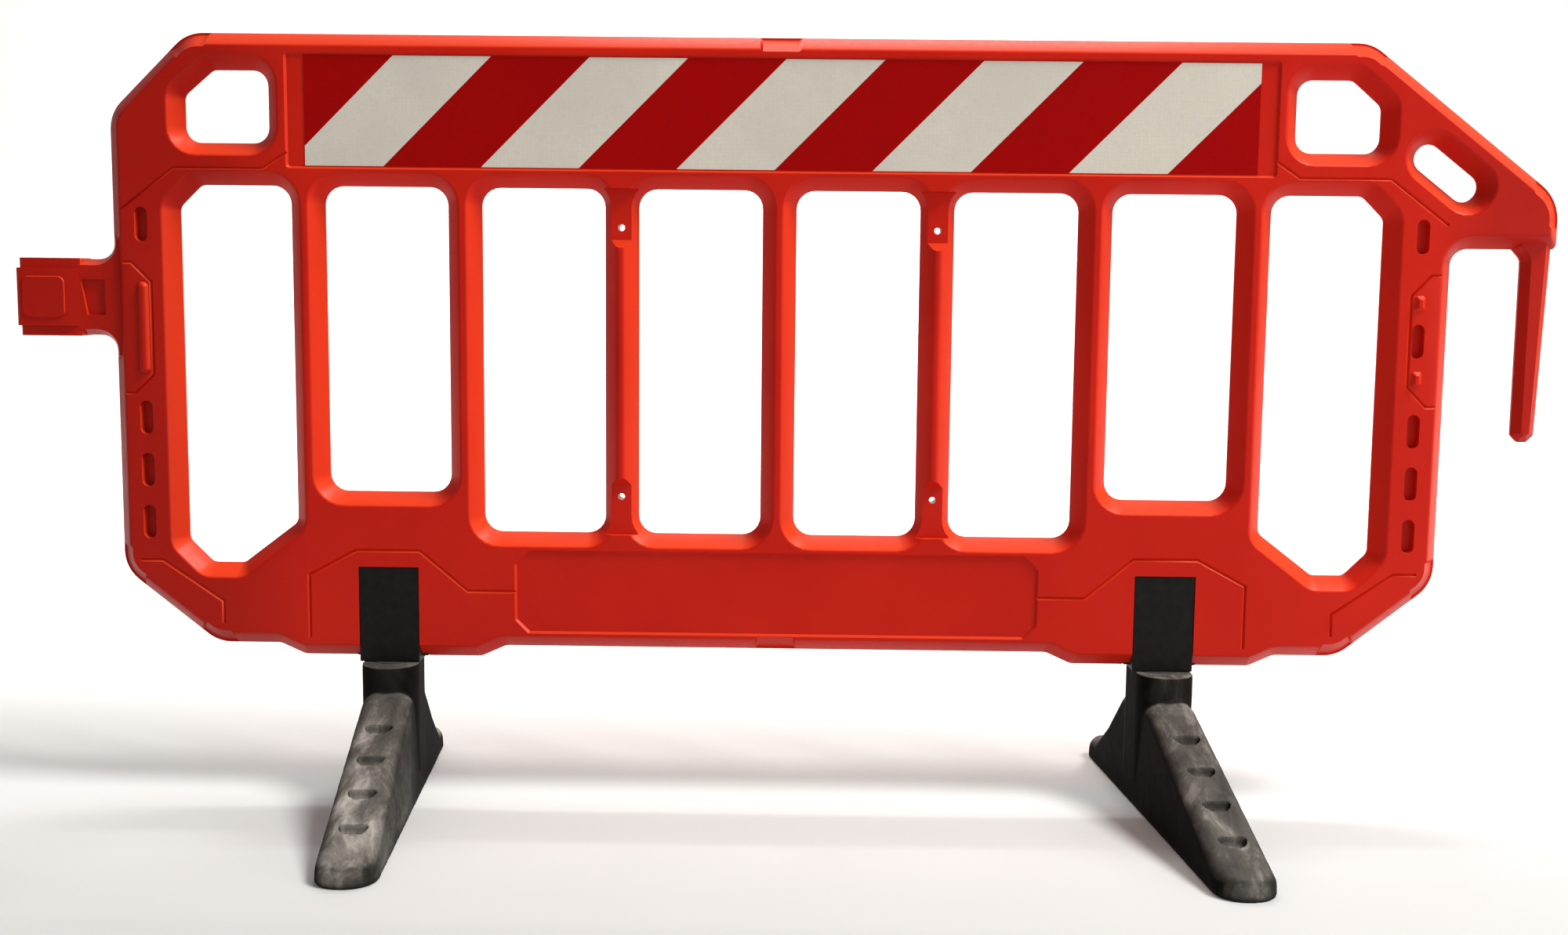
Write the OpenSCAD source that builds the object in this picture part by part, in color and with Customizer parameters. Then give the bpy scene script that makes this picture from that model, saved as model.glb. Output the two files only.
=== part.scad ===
// Pedestrian barrier panel: one moulded panel on two swivelling rubber feet.
// X runs along the panel, Y from front to back, Z up; the ground is at Z = 0.

/* [Panel] */
// Length from the tip of the link lug to the end of the hook arm
barrier_l = 2000; // [1900:1:2200]
// Height of the top edge above the ground
panel_top = 1000; // [980:1:1100]
// Height of the lower edge above the ground
panel_bottom = 200; // [196:1:206]
// Thickness from face to face
panel_t = 50; // [48:1:60]
// Width of the slope round every edge, seen from the front
edge_w = 17; // [12:0.5:18]
// Flat band along the mould's parting line
edge_land = 4; // [2:0.5:8]
// Width of the softened corner between a face and the slope, to each side
edge_soft = 2.5; // [1:0.5:3]
// Rounding of the outer corners
corner_r = 50; // [40:1:60]
// How far the upper left corner is cut back, both ways
top_corner = 103; // [80:1:115]
// How far the lower corners are cut back along the edge
low_corner_w = 123; // [100:1:135]
// How far the lower corners are cut back up the stile
low_corner_h = 98; // [80:1:110]
// How far the lower edge dips at each foot
boss_drop = 15; // [10:1:18]
// Length of the level stretch of the dip
boss_w = 237; // [220:1:250]
// Length of the slope at each end of the dip
boss_run = 33; // [28:1:40]

/* [Windows] */
// Width of an upright bar
bar_w = 44; // [40:1:50]
// Width of each outer stile
stile_w = 88; // [84:1:96]
// Width of the window beside each stile
end_window_w = 146; // [136:1:156]
// Height of the top rail
top_rail_h = 194; // [186:1:202]
// Height of the lower rail between the feet
low_rail_h = 154; // [146:1:164]
// Height of the lower rail above each foot
foot_rail_h = 206; // [196:1:220]
// Height of the lower rail under the end windows
end_rail_h = 108; // [102:1:116]
// Corner rounding of the windows
window_r = 24; // [18:1:28]

/* [Hand holds] */
// Width of a hand hold
hold_w = 109; // [100:1:112]
// Height of a hand hold
hold_h = 93; // [86:1:98]
// Distance from the end of the sheeting recess to a hand hold
hold_gap = 27; // [25:1:32]
// Distance from the top edge to a hand hold
hold_drop = 47; // [44:1:52]
// Corner rounding of the hand holds
hold_r = 20; // [16:1:24]
// Width of the slanted slot in the hook arm
arm_slot_w = 37; // [30:1:38]
// Distance between the centres of that slot's round ends
arm_slot_l = 58; // [45:1:64]
// Distance from the sloping edge to the slot's centre line
arm_slot_inset = 66; // [63:1:68]

/* [Hook] */
// Height of the arm's outer end
arm_h = 65; // [58:1:72]
// Gap between the stile and the prong
hook_gap = 91; // [86:1:98]
// Width of the prong where it leaves the arm
prong_w = 38; // [35:1:42]
// Width of the prong at its tip
prong_tip_w = 30; // [26:1:34]
// Length of the prong below the arm
prong_l = 251; // [220:1:260]
// Thickness of the prong
prong_t = 26; // [22:1:28]
// How far the arm reaches past the prong
arm_lip = 7; // [5:1:10]
// Where the sloping edge starts, measured in from the stile's outer edge
arm_cut = 114; // [105:1:120]
// Height that the sloping edge falls
arm_drop = 195; // [185:1:200]

/* [Link lug] */
// Distance from the hook arm's underside to the middle of the zones on the stiles
zone_drop = 120; // [112:1:126]
// Height of those zones
zone_h = 170; // [160:1:176]
// How far the lug's middle lies above the middle of its zone
lug_rise = 39; // [30:1:42]
// Length of the lug beyond the stile
lug_l = 122; // [116:1:130]
// Height of the lug
lug_h = 101; // [90:1:110]
// Length of the lug's thick box
lug_box_l = 82; // [76:1:86]
// Thickness of the lug's box
lug_t = 47; // [44:1:48]
// Thickness of the web where it leaves the box
web_t = 36; // [34:1:38]
// Clearance round a neighbour's prong in the socket
socket_gap = 2; // [1:0.5:3]

/* [Sheeting] */
// Depth of the recesses on both faces
recess_d = 3; // [2:0.5:4]
// Thickness of the reflective sheeting
sheet_t = 1; // [0.6:0.1:1.5]
// Bare margin at each end of the sheeting
sheet_gap_x = 25; // [15:1:40]
// Bare margin above and below the sheeting
sheet_gap_z = 4; // [2:0.5:8]
// Length of one red and one white band together
band_pitch = 252; // [220:1:280]
// Lean of the bands from upright, in degrees
band_lean = 45; // [30:1:50]
// Number of white bands
band_count = 5; // [3:2:5]

/* [Sign plate holes] */
// Diameter of the holes for a sign plate's bolts
pad_hole_d = 9; // [6:0.5:11]
// Distance from a bar's end to the hole
pad_hole_in = 50; // [44:1:56]
// Length of the flat pad on the bar
pad_l = 66; // [62:1:72]
// Depth of the flat pad below the bar's face
pad_d = 11; // [8:1:13]

/* [Stile slots] */
// Width of the blind slots in the stiles
slot_w = 16; // [12:1:18]
// Height of the blind slots
slot_h = 44; // [36:1:48]
// Depth of the blind slots
slot_d = 12; // [8:1:15]
// Distance from the lower corner's cut up to the lowest slot
slot_rise = 45; // [38:1:50]
// Distance from the uppermost of the lower slots up to the stile's zone
slot_drop = 10; // [8:1:16]

/* [Feet] */
// Angle at which the left foot stands, turned from square to the panel
left_turn = 4.5; // [0:0.5:10]
// Angle at which the right foot stands
right_turn = 5; // [0:0.5:10]
// Reach of the toe in front of the pivot
toe_reach = 386; // [360:1:400]
// Reach of the heel behind the pivot
heel_reach = 222; // [212:1:250]
// Width of a foot
foot_w = 75; // [74:1:80]
// Length of the neck from front to back
neck_l = 118; // [108:1:124]
// How far the neck's middle lies in front of the pivot
neck_lead = 5; // [3:1:8]
// Height of the top of the neck
neck_h = 180; // [176:1:182]
// Height at which the toe's slope leaves the neck
toe_ledge_h = 146; // [138:1:152]
// Height at which the heel's slope leaves the neck
heel_ledge_h = 134; // [126:1:140]
// Height of the slopes at the toe and heel
nose_h = 32; // [26:1:38]
// Number of grip pockets on the toe's slope
toe_grips = 4; // [2:1:4]
// Number of grip pockets on the heel's slope
heel_grips = 1; // [1:1:2]
// Spacing of the grip pockets
grip_pitch = 60; // [52:1:64]
// Radius of a grip pocket
grip_r = 17; // [14:1:20]

/* [Pivots] */
// Width of the notch that holds a post
notch_w = 80; // [78:1:84]
// Height of that notch
notch_h = 123; // [118:1:130]
// Clearance of the post in its notch
post_gap = 0.3; // [0.1:0.1:0.6]
// How far the post's face is set back from the panel's
post_set = 1; // [0.5:0.5:3]
// Width of the guide tongues on the post's sides
tongue_w = 12; // [8:1:16]
// Depth of the guide tongues
tongue_d = 8; // [5:1:10]
// Diameter of the round spigot that the foot turns on
spigot_d = 44; // [40:1:46]
// Length of that spigot
spigot_l = 88; // [80:1:96]
// Wall of the plain bearing bush in the foot
bush_wall = 5; // [3:0.5:6]
// Diameter of the bush's flange
flange_d = 64; // [60:1:68]
// Thickness of the bush's flange
flange_t = 3; // [2:0.5:5]
// Radial running clearance of spigot and bolt
run_gap = 0.05; // [0.02:0.01:0.1]
// End clearance of the turning foot
end_gap = 0.3; // [0.2:0.1:0.5]
// Diameter of the pivot bolt
bolt_d = 12; // [10:1:14]
// Size across the flats of the bolt's head
head_af = 18; // [16:1:22]
// Height of the bolt's head
head_h = 7.5; // [6:0.5:9]
// Diameter of the retaining washer
washer_d = 56; // [55:1:60]
// Thickness of the retaining washer
washer_t = 4; // [3:0.5:5]
// Size across the flats of the threaded insert
insert_af = 22; // [20:1:26]
// Length of the threaded insert
insert_l = 32; // [28:1:36]

/* [Hidden] */

$fn = 64;
// Arc steps at each rounded corner of an outline
arc_steps = 6;
// Overrun of every cut
over = 1;
// Least radius left at a rounded corner
least_r = 1;

// Heights and places that follow from the panel's sizes
panel_w = barrier_l - lug_l - hook_gap - prong_w - arm_lip;
half_w = panel_w / 2;
half_t = panel_t / 2;
window_top = panel_top - top_rail_h;
window_low = panel_bottom + low_rail_h;
foot_window_low = panel_bottom + foot_rail_h;
end_window_low = panel_bottom + end_rail_h;
boss_z = panel_bottom - boss_drop;
middle_windows = 3;
end_x = half_w - stile_w - end_window_w;
window_w = (end_x - bar_w / 2) / middle_windows - bar_w;
window_pitch = window_w + bar_w;
post_x = bar_w / 2 + (middle_windows - 1) * window_pitch + window_w / 2;
pad_x = window_pitch;
stile_x = half_w - stile_w / 2;
boss_r = 20;

// Corner cuts of the end windows
end_top_cut = 29;
end_low_cut = 31;
end_inner_cut_w = 73;
end_inner_cut_h = 56;
end_r = 14;

// Hand holds
hold_x = end_x + hold_gap;
hold_top = panel_top - hold_drop;
hold_cut_w = 38;
hold_cut_h = 33;

// Hook arm and prong
arm_x = half_w + hook_gap + prong_w + arm_lip;
arm_start_x = half_w - arm_cut;
arm_run = arm_x - arm_start_x;
arm_tip_z = panel_top - arm_drop;
hook_z = arm_tip_z - arm_h;
arm_angle = atan2(arm_drop, arm_run);
arm_slot_share = 0.572;
arm_r = 58;
arm_low_r = 8;
hook_r = 22;
prong_x = half_w + hook_gap;
prong_root = 40;
prong_point = 9;
prong_edge = 10;
prong_r = 5;
prong_bend_r = 200;
prong_fillet = 13;

// Zones on the stiles, and the lug
zone_z = hook_z - zone_drop;
lug_z = zone_z + lug_rise;
lug_x = half_w + lug_l;
lug_ledge = 13;
lug_ledge_t = 4;
lug_ledge_in = 3;
lug_r = 6;
lug_pad_w = 56;
lug_pad_h = 54;
lug_pad_r = 9;
web_r = 20;
web_root = 45;
web_edge = 8;
web_pocket_d = 5;
web_pocket_h = 46;
web_pocket_w = 32;
web_pocket_lean = 8;
lug_slope = 11;

// Lines round the stile zones, with the rib on the left and the nubs on the right
zone_in = 55;
zone_x = half_w - zone_in;
zone_cut = 25;
rib_l = 121;
rib_r = 8;
rib_sink = 3;
nub_w = 14;
nub_h = 20;
nub_gap = 27;
nub_r = 4;
nub_rise = 5;

// Blind slots: the lower ones are spread evenly between the lower corner and the zone
low_slots = 3;
slot_low_z = panel_bottom + low_corner_h + slot_rise + slot_h / 2;
slot_high_z = zone_z - zone_h / 2 - slot_drop - slot_h / 2;
slot_pitch = (slot_high_z - slot_low_z) / (low_slots - 1);

// Sheeting recess, board recess and engraved lines
recess_x = end_x;
recess_low_lip = 4;
recess_top_lip = 8;
recess_low = window_top + edge_w + recess_low_lip;
recess_high = panel_top - edge_w - recess_top_lip;
sheet_x = recess_x - sheet_gap_x;
sheet_low = recess_low + sheet_gap_z;
sheet_high = recess_high - sheet_gap_z;
sheet_h = sheet_high - sheet_low;
lean_x = sheet_h * tan(band_lean);
board_lip = 4;
board_low = panel_bottom + edge_w + board_lip;
board_high = window_low - edge_w - board_lip;
board_cut = 18;
recess_slope = 3;
recess_r = 6;
groove_w = 5;
foot_line_rise = 22;
foot_line_top = 42;
foot_line_side = 105;
board_in = 167;
board_x = post_x - board_in;
foot_line_knee = 34;
hold_line_end = 30;
hold_line_rise = 20;
hold_line_fall = 58;
corner_line = 16;
corner_line_in = 30;

// Dents in the sloping edge
dent_d = 3;
dent_ramp = 6;
dent_run = 7;
middle_dent_l = 46;

// Frame: the box of the whole barrier is centred over the origin
toe_r = 34;
heel_r = 24;
turns = [left_turn, right_turn];
foot_front = max([for (turn = turns) turned_reach(toe_reach, toe_r, turn)]);
foot_back = max([for (turn = turns) turned_reach(heel_reach, heel_r, turn)]);
place_x = (lug_x - arm_x) / 2;
place_y = (foot_front - foot_back) / 2;

// Pivot stack, from the ground up
post_low = neck_h + end_gap;
spigot_low = post_low - spigot_l;
head_top = spigot_low - washer_t;
notch_roof = boss_z + notch_h;
post_top = notch_roof - post_gap;
bush_bore_d = spigot_d + 2 * run_gap;
bush_d = bush_bore_d + 2 * bush_wall;
insert_bore_d = bolt_d + 2 * run_gap;
bolt_end_gap = 2;
bolt_l = notch_roof + insert_l - bolt_end_gap - head_top;
bolt_hole_gap = 0.5;
well_gap = 3;

// Foot details
neck_front = -neck_lead - neck_l / 2;
neck_back = neck_l / 2 - neck_lead;
foot_top_r = 20;
top_r_share = 0.6;
draft_share = 0.035;
nose_steps = 5;
nose_share = 0.5;
heel_hollow = 7;
sole_r = 2;
heel_lip = 22;
heel_lip_share = 0.1;
heel_lip_y = heel_reach - heel_r - heel_lip;
heel_lip_h = nose_h + heel_lip * heel_lip_share;
grip_depth = 5;
first_grip = 126;
heel_grip = 120;
sole_relief = 6;
sole_rim = 14;
sole_pad = 60;

// Plane geometry helpers: corners are [x, z, radius], listed anticlockwise seen from the front
function unit(v) = v / norm(v);
function right_of(v) = [v[1], -v[0]];
function flat(c) = [c[0], c[1]];
function cross_z(a, b) = a[0] * b[1] - a[1] * b[0];

// Corner i of an outline, moved out by grow and rounded off
function corner_arc(before, here, after, grow) =
    let (u = unit(flat(here) - flat(before)),
         v = unit(flat(after) - flat(here)),
         bend = cross_z(u, v),
         side = sign(bend),
         tip = flat(here) + grow * (right_of(u) + right_of(v)) / (1 + u * v),
         r = max(here[2] + side * grow, least_r),
         turn = atan2(bend, u * v),
         start = tip - u * r * tan(abs(turn) / 2),
         middle = start - right_of(u) * r * side,
         a = atan2(start[1] - middle[1], start[0] - middle[0]))
    [for (k = [0 : arc_steps]) middle + r * [cos(a + turn * k / arc_steps), sin(a + turn * k / arc_steps)]];

function outline(corners, grow = 0) =
    let (n = len(corners))
    [for (i = [0 : n - 1])
        each corner_arc(corners[(i + n - 1) % n], corners[i], corners[(i + 1) % n], grow)];

function at_y(points, y) = [for (p = points) [p[0], y, p[1]]];

function mirrored(corners) =
    let (n = len(corners))
    [for (i = [1 : n]) let (c = corners[n - i]) [-c[0], c[1], c[2]]];

// Reach of a foot's rounded end in front of or behind the pivot, when the foot is turned
function turned_reach(reach, r, turn) = (reach - r) * cos(turn) + (foot_w / 2 - r) * sin(turn) + r;

// Closed skin over rings of equal length
module skin(rings) {
    n = len(rings[0]);
    last = len(rings) - 1;
    sides = [for (k = [0 : last - 1]) for (i = [0 : n - 1])
        [k * n + i, k * n + (i + 1) % n, (k + 1) * n + (i + 1) % n, (k + 1) * n + i]];
    caps = [[for (i = [n : -1 : 1]) i % n], [for (i = [0 : n - 1]) last * n + i]];
    polyhedron([for (ring = rings) each ring], concat(caps, sides));
}

// Steps [inset, depth] from a face over the softened corner and down the slope to the parting line
function slope_steps(t, slope, land, soft) =
    let (fall = (t - land) / 2, share = soft / norm([slope, fall]))
    [[slope + soft, t / 2],
     if (soft > 0) [slope * (1 - share), t / 2 - fall * share],
     [0, land / 2]];

// The same steps on the front, and again in reverse on the back
function both_slopes(steps) =
    let (n = len(steps))
    concat([for (s = steps) [s[0], -s[1]]], [for (i = [1 : n]) steps[n - i]]);

// Plate with the sloping edge on both faces
module plate(corners, t, slope, land, soft = 0) {
    steps = slope_steps(t, slope, land, soft);
    skin([for (s = both_slopes(steps)) at_y(outline(corners, -s[0]), s[1])]);
}

// Opening through the panel, flared towards both faces like the panel's own edge
module opening(corners) {
    slope = slope_steps(panel_t, edge_w, edge_land, edge_soft);
    steps = concat([[edge_w + edge_soft, half_t + over]], slope);
    skin([for (s = both_slopes(steps)) at_y(outline(corners, s[0]), s[1])]);
}

// Shallow recess in the front face with drafted walls
module recess(corners, depth) {
    skin([at_y(outline(corners), -half_t - over), at_y(outline(corners), -half_t),
          at_y(outline(corners, -recess_slope), -half_t + depth)]);
}

// Engraved line in the front face: one closed skin with a V section and a mitre at each bend
module engrave(path) {
    last = len(path) - 1;
    depth = groove_w / 2;
    skin([for (i = [0 : last])
        let (u = unit(path[max(i, 1)] - path[max(i, 1) - 1]),
             v = unit(path[min(i + 1, last)] - path[min(i, last - 1)]),
             side = (depth + over) * (right_of(u) + right_of(v)) / (1 + u * v),
             right = path[i] + side,
             left = path[i] - side)
        [[right[0], -half_t - over, right[1]],
         [left[0], -half_t - over, left[1]],
         [path[i][0], -half_t + depth, path[i][1]]]]);
}

module both_faces() {
    children();
    mirror([0, 1, 0]) children();
}

module both_ends() {
    children();
    mirror([1, 0, 0]) children();
}

function box_corners(x0, x1, z0, z1, r) = [[x0, z0, r], [x1, z0, r], [x1, z1, r], [x0, z1, r]];

// Outlines; the panel's starts at a corner from which every other corner is in view
panel_corners = [
    [-half_w + top_corner, panel_top, corner_r],
    [-half_w, panel_top - top_corner, corner_r],
    [-half_w, panel_bottom + low_corner_h, corner_r],
    [-half_w + low_corner_w, panel_bottom, corner_r],
    [-post_x - boss_w / 2 - boss_run, panel_bottom, boss_r],
    [-post_x - boss_w / 2, boss_z, boss_r],
    [-post_x + boss_w / 2, boss_z, boss_r],
    [-post_x + boss_w / 2 + boss_run, panel_bottom, boss_r],
    [post_x - boss_w / 2 - boss_run, panel_bottom, boss_r],
    [post_x - boss_w / 2, boss_z, boss_r],
    [post_x + boss_w / 2, boss_z, boss_r],
    [post_x + boss_w / 2 + boss_run, panel_bottom, boss_r],
    [half_w - low_corner_w, panel_bottom, corner_r],
    [half_w, panel_bottom + low_corner_h, corner_r],
    [half_w, hook_z, hook_r],
    [arm_x, hook_z, arm_low_r],
    [arm_x, arm_tip_z, arm_r],
    [arm_start_x, panel_top, corner_r]];

// Right end window; the left one is its mirror image
end_window_corners = [
    [end_x + end_inner_cut_w, end_window_low, end_r],
    [end_x + end_window_w - end_low_cut, end_window_low, end_r],
    [end_x + end_window_w, end_window_low + end_low_cut, end_r],
    [end_x + end_window_w, window_top - end_top_cut, end_r],
    [end_x + end_window_w - end_top_cut, window_top, end_r],
    [end_x, window_top, window_r],
    [end_x, end_window_low + end_inner_cut_h, end_r]];

// Right hand hold
hold_corners = [
    [hold_x, hold_top - hold_h, hold_r],
    [hold_x + hold_w, hold_top - hold_h, hold_r],
    [hold_x + hold_w, hold_top - hold_cut_h, end_r],
    [hold_x + hold_w - hold_cut_w, hold_top, end_r],
    [hold_x, hold_top, hold_r]];

// Right half of the board recess from its lower middle to its upper middle; the left half mirrors it
board_half = [
    [board_x - board_cut, board_low, recess_r],
    [board_x, board_low + board_cut, recess_r],
    [board_x, board_high - board_cut, recess_r],
    [board_x - board_cut, board_high, recess_r]];
board_corners = concat(board_half, mirrored(board_half));

// Corners of the outline that carry a dent
dent_corners = [0, 2, 3, 12, 13, 16, 17];

module window_cuts() {
    for (side = [-1, 1]) {
        for (i = [0 : middle_windows - 1]) {
            x = bar_w / 2 + i * window_pitch;
            low = i == middle_windows - 1 ? foot_window_low : window_low;
            x0 = side < 0 ? -x - window_w : x;
            opening(box_corners(x0, x0 + window_w, low, window_top, window_r));
        }
    }
    opening(end_window_corners);
    opening(mirrored(end_window_corners));
    opening(hold_corners);
    opening(mirrored(hold_corners));
}

// Slanted slot along the sloping edge of the hook arm
module arm_slot_cut() {
    along = [cos(arm_angle), -sin(arm_angle)];
    down = right_of(along);
    start = [arm_start_x, panel_top];
    middle = start + along * norm([arm_run, arm_drop]) * arm_slot_share + down * arm_slot_inset;
    r = arm_slot_w / 2;
    far = along * (arm_slot_l / 2 + r);
    near = down * r;
    points = [middle - far + near, middle + far + near, middle + far - near, middle - far - near];
    opening([for (p = points) [p[0], p[1], r - least_r]]);
}

// Hook prong: the arm's end runs down into a ridged bar that tapers on its outer side to a blunt point
module prong() {
    tip_z = hook_z - prong_l;
    tip_x = prong_x + prong_tip_w;
    plate([[prong_x + prong_w, hook_z + prong_root, prong_r],
           [prong_x - prong_fillet, hook_z + prong_root, prong_r],
           [prong_x - prong_fillet, hook_z + over, least_r],
           [prong_x, hook_z - prong_fillet, prong_fillet],
           [prong_x, tip_z + prong_point, prong_r],
           [prong_x + prong_point, tip_z, prong_r],
           [tip_x - prong_point, tip_z, prong_r],
           [tip_x, tip_z + prong_point, prong_r],
           [prong_x + prong_w, hook_z, prong_bend_r]],
          prong_t, prong_edge, edge_land);
}

// Block of the lug, seen from above: square at its outer end, sloping down to the web at the other
module lug_block(tip_x, h, t) {
    box_x = -lug_x + lug_box_l;
    side = [[tip_x, -t / 2 + lug_r / 2], [tip_x + lug_r / 2, -t / 2], [box_x - lug_slope, -t / 2],
            [box_x, -web_t / 2 + over]];
    n = len(side);
    translate([0, 0, lug_z - h / 2])
        linear_extrude(h)
            polygon(concat(side, [for (i = [1 : n]) [side[n - i][0], -side[n - i][1]]]));
}

// Web of the lug, filleted into the stile; its outline starts where every other corner is in view
module lug_web() {
    low = lug_z - lug_h / 2 + least_r;
    high = lug_z + lug_h / 2 - least_r;
    root = web_r + web_edge + lug_r;
    start_x = -lug_x + lug_box_l - 2 * lug_slope;
    plate([[-half_w + web_root + lug_r, lug_z, least_r],
           [-half_w + web_root, high + root, least_r],
           [-half_w, high + root, least_r],
           [-half_w, high, web_r],
           [start_x, high, least_r],
           [start_x, low, least_r],
           [-half_w, low, web_r],
           [-half_w, low - root, least_r],
           [-half_w + web_root, low - root, least_r]],
          web_t, web_edge, edge_land);
}

// Link lug on the left: a box with a ledge above and below, a raised pad, and the web
module lug() {
    pad_mid = -lug_x + (lug_box_l - lug_slope) / 2;
    lug_block(-lug_x + lug_ledge_in, lug_h, lug_t - 2 * lug_ledge_t);
    lug_block(-lug_x, lug_h - 2 * lug_ledge, lug_t);
    plate(box_corners(pad_mid - lug_pad_w / 2, pad_mid + lug_pad_w / 2,
                      lug_z - lug_pad_h / 2, lug_z + lug_pad_h / 2, lug_pad_r),
          panel_t, least_r, lug_t);
    lug_web();
}

// Vertical socket through the lug for a neighbour's prong
module lug_socket() {
    w = prong_w + 2 * socket_gap;
    t = prong_t + 2 * socket_gap;
    translate([-lug_x + (lug_box_l - w) / 2, -t / 2, lug_z - lug_h / 2 - over])
        cube([w, t, lug_h + 2 * over]);
}

// Pocket in each face of the web, with a slanting wall towards the box
module web_pocket() {
    x = -lug_x + lug_box_l;
    low = lug_z - web_pocket_h / 2;
    high = lug_z + web_pocket_h / 2;
    translate([0, -web_t / 2 + web_pocket_d, 0])
        rotate([90, 0, 0])
            linear_extrude(half_t)
                polygon([[x + web_pocket_lean, low], [x + web_pocket_w, low],
                         [x + web_pocket_w, high], [x, high]]);
}

// Half-round rib beside the lug
module lug_rib() {
    translate([-stile_x, -half_t + rib_sink, zone_z - rib_l / 2 + rib_r])
        cylinder(r = rib_r, h = rib_l - 2 * rib_r);
    for (z = [zone_z - rib_l / 2 + rib_r, zone_z + rib_l / 2 - rib_r])
        translate([-stile_x, -half_t + rib_sink, z])
            sphere(r = rib_r);
}

// Two nubs on the right stile
module nubs() {
    for (z = [zone_z - slot_h / 2 - nub_gap, zone_z + slot_h / 2 + nub_gap])
        plate(box_corners(stile_x - nub_w / 2, stile_x + nub_w / 2, z - nub_h / 2, z + nub_h / 2, nub_r),
              panel_t + 2 * nub_rise, nub_rise, panel_t);
}

module stile_slot(x, z) {
    translate([x, -half_t + slot_d, z])
        rotate([90, 0, 0])
            linear_extrude(slot_d + over) {
                square([slot_w, slot_h - slot_w], center = true);
                for (end = [-1, 1])
                    translate([0, end * (slot_h - slot_w) / 2])
                        circle(d = slot_w);
            }
}

module slot_cuts() {
    for (side = [-1, 1]) {
        for (i = [0 : low_slots - 1])
            stile_slot(side * stile_x, slot_low_z + i * slot_pitch);
        stile_slot(side * stile_x, window_top - end_top_cut - slot_h / 2 - over);
    }
    stile_slot(stile_x, zone_z);
}

// Engraved lines round the feet, the hand holds, the stile zones and the lower corners
module line_cuts() {
    roof = notch_roof + foot_line_rise;
    both_ends() {
        engrave([[board_x - board_cut, board_low + (board_high - board_low) / 2],
                 [post_x - foot_line_side, board_low + (board_high - board_low) / 2],
                 [post_x - foot_line_top, roof],
                 [post_x + foot_line_top, roof],
                 [post_x + foot_line_side, roof - foot_line_knee],
                 [post_x + foot_line_side, boss_z + edge_w + 2 * groove_w]]);
        engrave([[recess_x - hold_line_end, recess_low + hold_line_rise],
                 [recess_x, recess_low + hold_line_rise],
                 [recess_x + hold_line_end, recess_low],
                 [half_w - stile_w, recess_low],
                 [half_w - edge_w + groove_w, recess_low - hold_line_fall]]);
        engrave([[half_w - edge_w + groove_w, zone_z + zone_h / 2],
                 [zone_x + zone_cut, zone_z + zone_h / 2],
                 [zone_x, zone_z + zone_h / 2 - zone_cut],
                 [zone_x, zone_z - zone_h / 2 + zone_cut],
                 [zone_x + zone_cut, zone_z - zone_h / 2],
                 [half_w - edge_w + groove_w, zone_z - zone_h / 2]]);
        engrave([[half_w - corner_line_in, panel_bottom + low_corner_h + corner_line],
                 [half_w - 2 * corner_line_in, panel_bottom + low_corner_h + corner_line],
                 [half_w - low_corner_w - corner_line, panel_bottom + 2 * corner_line_in],
                 [half_w - low_corner_w - corner_line, panel_bottom + corner_line_in]]);
    }
}

// Flat pad and bolt hole at both ends of two bars
module pad_cuts() {
    ramp = pad_d;
    for (x = [-pad_x, pad_x]) {
        both_faces()
            translate([x - bar_w / 2, 0, 0])
                rotate([90, 0, 90])
                    linear_extrude(bar_w) {
                        polygon([[-half_t - over, window_top], [-half_t + pad_d, window_top],
                                 [-half_t + pad_d, window_top - pad_l],
                                 [-half_t - over, window_top - pad_l - ramp]]);
                        polygon([[-half_t - over, window_low], [-half_t + pad_d, window_low],
                                 [-half_t + pad_d, window_low + pad_l],
                                 [-half_t - over, window_low + pad_l + ramp]]);
                    }
        for (z = [window_top - pad_hole_in, window_low + pad_hole_in])
            translate([x, half_t + over, z])
                rotate([90, 0, 0])
                    cylinder(d = pad_hole_d, h = panel_t + 2 * over);
    }
}

// Notch for a post, with a guide groove in each side and the insert's socket in its roof
module notch_cuts() {
    for (x = [-post_x, post_x])
        translate([x, 0, 0]) {
            translate([-notch_w / 2, -half_t - over, boss_z - over])
                cube([notch_w, panel_t + 2 * over, notch_h + over]);
            translate([-notch_w / 2 - tongue_d - post_gap, -tongue_w / 2 - post_gap, boss_z - over])
                cube([notch_w + 2 * (tongue_d + post_gap), tongue_w + 2 * post_gap, notch_h + over]);
            translate([0, 0, notch_roof - over])
                hexagon(insert_af, insert_l + over);
        }
}

// Cross-section of a dent's cutter at one place on the outline: a band that lies depth below the slope
function dent_ring(place, out, depth) =
    let (lead = over * edge_w / (half_t - edge_land / 2),
         foot = place - out * depth,
         far = place + out * edge_w,
         back = foot - out * (edge_w + lead))
    [[foot[0], -edge_land / 2, foot[1]], [far[0], -edge_land / 2, far[1]],
     [far[0], -half_t - over, far[1]], [back[0], -half_t - over, back[1]]];

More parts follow.
